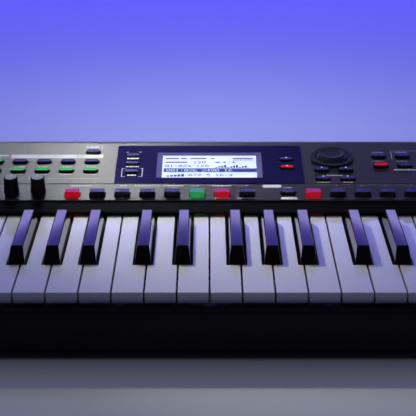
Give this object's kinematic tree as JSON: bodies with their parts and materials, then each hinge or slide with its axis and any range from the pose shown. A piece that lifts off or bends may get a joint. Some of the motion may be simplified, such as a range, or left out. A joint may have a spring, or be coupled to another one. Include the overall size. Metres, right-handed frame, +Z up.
{
  "type": "music workstation keyboard",
  "caption": "Slim music workstation with a sloping silver control panel, a wide display, a value dial, knobs, button rows, a joystick and piano-style keys.",
  "frame": {"origin": "on the surface that the feet stand on, under the centre of the case", "axes": "+X to the player's right, +Y away from the player to the rear, +Z up"},
  "size_m": [1.037, 0.296, 0.08],
  "materials": {
    "silver_paint": "satin metallic paint",
    "black_plastic": "fine-grained moulded",
    "fascia_plastic": "satin",
    "navy_gloss": "high gloss",
    "lens": "clear",
    "screen": "semi-gloss, lit from behind",
    "screen_ink": "display segments",
    "white_key": "polished",
    "black_key": "polished",
    "button_dark": "satin",
    "lamp_green": "translucent, lit from behind",
    "lamp_red": "translucent, lit from behind",
    "knob_black": "satin",
    "knob_cap": "spun",
    "marking": "screen printed",
    "steel": "zinc plated",
    "board_green": "solder mask",
    "connector": "moulded",
    "foot_rubber": "matte"
  },
  "bodies": {
    "case": {"lower_case": "black_plastic", "top_panel": "silver_paint", "key_fascia": "fascia_plastic", "front_rail": "black_plastic", "left_end_block": "black_plastic", "right_end_block": "black_plastic", "display_panel": "navy_gloss", "display_lens": "lens", "display_module": "screen", "key_chassis": "steel", "key_contact_board": "board_green", "panel_board": "board_green", "main_board": "board_green", "jack_headphones": "connector", "jack_line_left": "connector", "jack_line_right": "connector", "jack_damper_pedal": "connector", "jack_foot_switch": "connector", "usb_port": "steel", "power_inlet": "connector", "foot_front_left": "foot_rubber", "foot_front_right": "foot_rubber", "foot_rear_left": "foot_rubber", "foot_rear_right": "foot_rubber", "joystick_base": "black_plastic"},
    "white_keys_cegb_1": {"white_keys_cegb_1": "white_key"},
    "white_keys_dfa_1": {"white_keys_dfa_1": "white_key"},
    "black_keys_1": {"black_keys_1": "black_key"},
    "white_keys_cegb_2": {"white_keys_cegb_2": "white_key"},
    "white_keys_dfa_2": {"white_keys_dfa_2": "white_key"},
    "black_keys_2": {"black_keys_2": "black_key"},
    "white_keys_cegb_3": {"white_keys_cegb_3": "white_key"},
    "white_keys_dfa_3": {"white_keys_dfa_3": "white_key"},
    "black_keys_3": {"black_keys_3": "black_key"},
    "white_keys_cegb_4": {"white_keys_cegb_4": "white_key"},
    "white_keys_dfa_4": {"white_keys_dfa_4": "white_key"},
    "black_keys_4": {"black_keys_4": "black_key"},
    "white_keys_cegb_5": {"white_keys_cegb_5": "white_key"},
    "white_keys_dfa_5": {"white_keys_dfa_5": "white_key"},
    "black_keys_5": {"black_keys_5": "black_key"},
    "white_key_top_c": {"white_key_top_c": "white_key"},
    "pattern_buttons": {"pattern_buttons": "button_dark"},
    "memory_buttons": {"memory_buttons": "button_dark"},
    "bank_button": {"bank_button": "button_dark"},
    "part_buttons": {"part_buttons": "lamp_green"},
    "group_buttons": {"group_buttons": "button_dark"},
    "tap_button": {"tap_button": "button_dark"},
    "menu_buttons": {"menu_buttons": "button_dark"},
    "page_buttons": {"page_buttons": "button_dark"},
    "cursor_buttons": {"cursor_buttons": "button_dark"},
    "song_buttons": {"song_buttons": "button_dark"},
    "power_button": {"power_button": "button_dark"},
    "control_knob_1": {"control_knob_1": "knob_black"},
    "control_knob_2": {"control_knob_2": "knob_black"},
    "control_knob_3": {"control_knob_3": "knob_black"},
    "control_knob_4": {"control_knob_4": "knob_black"},
    "volume_knob": {"volume_knob": "knob_black"},
    "value_dial": {"value_dial": "knob_black"},
    "joystick_gimbal": {"joystick_gimbal": "steel"},
    "joystick_stick": {"joystick_stick": "black_plastic"}
  },
  "joints": [
    {"name": "white_keys_cegb_1_hinge", "type": "hinge", "parent": "case", "child": "white_keys_cegb_1", "pos_m": [-0.31725, 0.0435, 0.041], "axis": [1, 0, 0], "range_deg": [0, 3], "stiffness_Nm_per_rad": 2, "springref_deg": -11.46},
    {"name": "white_keys_dfa_1_hinge", "type": "hinge", "parent": "case", "child": "white_keys_dfa_1", "pos_m": [-0.31725, 0.0555, 0.041], "axis": [1, 0, 0], "range_deg": [0, 2.8], "stiffness_Nm_per_rad": 2, "springref_deg": -11.46},
    {"name": "black_keys_1_hinge", "type": "hinge", "parent": "case", "child": "black_keys_1", "pos_m": [-0.31725, 0.0675, 0.041], "axis": [1, 0, 0], "range_deg": [0, 2.8], "stiffness_Nm_per_rad": 2, "springref_deg": -11.46},
    {"name": "white_keys_cegb_2_hinge", "type": "hinge", "parent": "case", "child": "white_keys_cegb_2", "pos_m": [-0.15275, 0.0435, 0.041], "axis": [1, 0, 0], "range_deg": [0, 3], "stiffness_Nm_per_rad": 2, "springref_deg": -11.46},
    {"name": "white_keys_dfa_2_hinge", "type": "hinge", "parent": "case", "child": "white_keys_dfa_2", "pos_m": [-0.15275, 0.0555, 0.041], "axis": [1, 0, 0], "range_deg": [0, 2.8], "stiffness_Nm_per_rad": 2, "springref_deg": -11.46},
    {"name": "black_keys_2_hinge", "type": "hinge", "parent": "case", "child": "black_keys_2", "pos_m": [-0.15275, 0.0675, 0.041], "axis": [1, 0, 0], "range_deg": [0, 2.8], "stiffness_Nm_per_rad": 2, "springref_deg": -11.46},
    {"name": "white_keys_cegb_3_hinge", "type": "hinge", "parent": "case", "child": "white_keys_cegb_3", "pos_m": [0.01175, 0.0435, 0.041], "axis": [1, 0, 0], "range_deg": [0, 3], "stiffness_Nm_per_rad": 2, "springref_deg": -11.46},
    {"name": "white_keys_dfa_3_hinge", "type": "hinge", "parent": "case", "child": "white_keys_dfa_3", "pos_m": [0.01175, 0.0555, 0.041], "axis": [1, 0, 0], "range_deg": [0, 2.8], "stiffness_Nm_per_rad": 2, "springref_deg": -11.46},
    {"name": "black_keys_3_hinge", "type": "hinge", "parent": "case", "child": "black_keys_3", "pos_m": [0.01175, 0.0675, 0.041], "axis": [1, 0, 0], "range_deg": [0, 2.8], "stiffness_Nm_per_rad": 2, "springref_deg": -11.46},
    {"name": "white_keys_cegb_4_hinge", "type": "hinge", "parent": "case", "child": "white_keys_cegb_4", "pos_m": [0.17625, 0.0435, 0.041], "axis": [1, 0, 0], "range_deg": [0, 3], "stiffness_Nm_per_rad": 2, "springref_deg": -11.46},
    {"name": "white_keys_dfa_4_hinge", "type": "hinge", "parent": "case", "child": "white_keys_dfa_4", "pos_m": [0.17625, 0.0555, 0.041], "axis": [1, 0, 0], "range_deg": [0, 2.8], "stiffness_Nm_per_rad": 2, "springref_deg": -11.46},
    {"name": "black_keys_4_hinge", "type": "hinge", "parent": "case", "child": "black_keys_4", "pos_m": [0.17625, 0.0675, 0.041], "axis": [1, 0, 0], "range_deg": [0, 2.8], "stiffness_Nm_per_rad": 2, "springref_deg": -11.46},
    {"name": "white_keys_cegb_5_hinge", "type": "hinge", "parent": "case", "child": "white_keys_cegb_5", "pos_m": [0.34075, 0.0435, 0.041], "axis": [1, 0, 0], "range_deg": [0, 3], "stiffness_Nm_per_rad": 2, "springref_deg": -11.46},
    {"name": "white_keys_dfa_5_hinge", "type": "hinge", "parent": "case", "child": "white_keys_dfa_5", "pos_m": [0.34075, 0.0555, 0.041], "axis": [1, 0, 0], "range_deg": [0, 2.8], "stiffness_Nm_per_rad": 2, "springref_deg": -11.46},
    {"name": "black_keys_5_hinge", "type": "hinge", "parent": "case", "child": "black_keys_5", "pos_m": [0.34075, 0.0675, 0.041], "axis": [1, 0, 0], "range_deg": [0, 2.8], "stiffness_Nm_per_rad": 2, "springref_deg": -11.46},
    {"name": "white_key_top_c_hinge", "type": "hinge", "parent": "case", "child": "white_key_top_c", "pos_m": [0.43475, 0.0435, 0.041], "axis": [1, 0, 0], "range_deg": [0, 3], "stiffness_Nm_per_rad": 2, "springref_deg": -11.46},
    {"name": "pattern_buttons_press", "type": "slide", "parent": "case", "child": "pattern_buttons", "axis": [0, 0.1305, -0.9914], "range_m": [0, 0.0008], "stiffness_N_per_m": 200, "springref_m": -0.002},
    {"name": "memory_buttons_press", "type": "slide", "parent": "case", "child": "memory_buttons", "axis": [0, 0.1305, -0.9914], "range_m": [0, 0.0008], "stiffness_N_per_m": 200, "springref_m": -0.002},
    {"name": "bank_button_press", "type": "slide", "parent": "case", "child": "bank_button", "axis": [0, 0.1305, -0.9914], "range_m": [0, 0.0008], "stiffness_N_per_m": 200, "springref_m": -0.002},
    {"name": "part_buttons_press", "type": "slide", "parent": "case", "child": "part_buttons", "axis": [0, 0.1305, -0.9914], "range_m": [0, 0.0008], "stiffness_N_per_m": 200, "springref_m": -0.002},
    {"name": "group_buttons_press", "type": "slide", "parent": "case", "child": "group_buttons", "axis": [0, 0.1305, -0.9914], "range_m": [0, 0.0008], "stiffness_N_per_m": 200, "springref_m": -0.002},
    {"name": "tap_button_press", "type": "slide", "parent": "case", "child": "tap_button", "axis": [0, 0.1305, -0.9914], "range_m": [0, 0.0008], "stiffness_N_per_m": 200, "springref_m": -0.002},
    {"name": "menu_buttons_press", "type": "slide", "parent": "case", "child": "menu_buttons", "axis": [0, 0.1305, -0.9914], "range_m": [0, 0.0008], "stiffness_N_per_m": 200, "springref_m": -0.002},
    {"name": "page_buttons_press", "type": "slide", "parent": "case", "child": "page_buttons", "axis": [0, 0.1305, -0.9914], "range_m": [0, 0.0008], "stiffness_N_per_m": 200, "springref_m": -0.002},
    {"name": "cursor_buttons_press", "type": "slide", "parent": "case", "child": "cursor_buttons", "axis": [0, 0.1305, -0.9914], "range_m": [0, 0.0008], "stiffness_N_per_m": 200, "springref_m": -0.002},
    {"name": "song_buttons_press", "type": "slide", "parent": "case", "child": "song_buttons", "axis": [0, 0.1305, -0.9914], "range_m": [0, 0.0008], "stiffness_N_per_m": 200, "springref_m": -0.002},
    {"name": "power_button_press", "type": "slide", "parent": "case", "child": "power_button", "axis": [0, 0.1305, -0.9914], "range_m": [0, 0.0015], "stiffness_N_per_m": 200, "springref_m": -0.002},
    {"name": "control_knob_1_turn", "type": "hinge", "parent": "case", "child": "control_knob_1", "pos_m": [-0.2075, 0.03679, 0.05821], "axis": [0, -0.1305, 0.9914], "range_deg": [-150, 150]},
    {"name": "control_knob_2_turn", "type": "hinge", "parent": "case", "child": "control_knob_2", "pos_m": [-0.1855, 0.03679, 0.05821], "axis": [0, -0.1305, 0.9914], "range_deg": [-150, 150]},
    {"name": "control_knob_3_turn", "type": "hinge", "parent": "case", "child": "control_knob_3", "pos_m": [-0.1635, 0.03679, 0.05821], "axis": [0, -0.1305, 0.9914], "range_deg": [-150, 150]},
    {"name": "control_knob_4_turn", "type": "hinge", "parent": "case", "child": "control_knob_4", "pos_m": [-0.1415, 0.03679, 0.05821], "axis": [0, -0.1305, 0.9914], "range_deg": [-150, 150]},
    {"name": "volume_knob_turn", "type": "hinge", "parent": "case", "child": "volume_knob", "pos_m": [-0.44, 0.08409, 0.06443], "axis": [0, -0.1305, 0.9914], "range_deg": [-150, 150]},
    {"name": "value_dial_turn", "type": "hinge", "parent": "case", "child": "value_dial", "pos_m": [0.1064, 0.10154, 0.06673], "axis": [0, -0.1305, 0.9914], "continuous": true},
    {"name": "joystick_left_right", "type": "hinge", "parent": "case", "child": "joystick_gimbal", "pos_m": [-0.4595, -0.072, 0.043], "axis": [0, 1, 0], "range_deg": [-18, 18], "stiffness_Nm_per_rad": 0.15},
    {"name": "joystick_front_back", "type": "hinge", "parent": "joystick_gimbal", "child": "joystick_stick", "pos_m": [-0.4595, -0.072, 0.043], "axis": [1, 0, 0], "range_deg": [-18, 18], "stiffness_Nm_per_rad": 0.15}
  ]
}
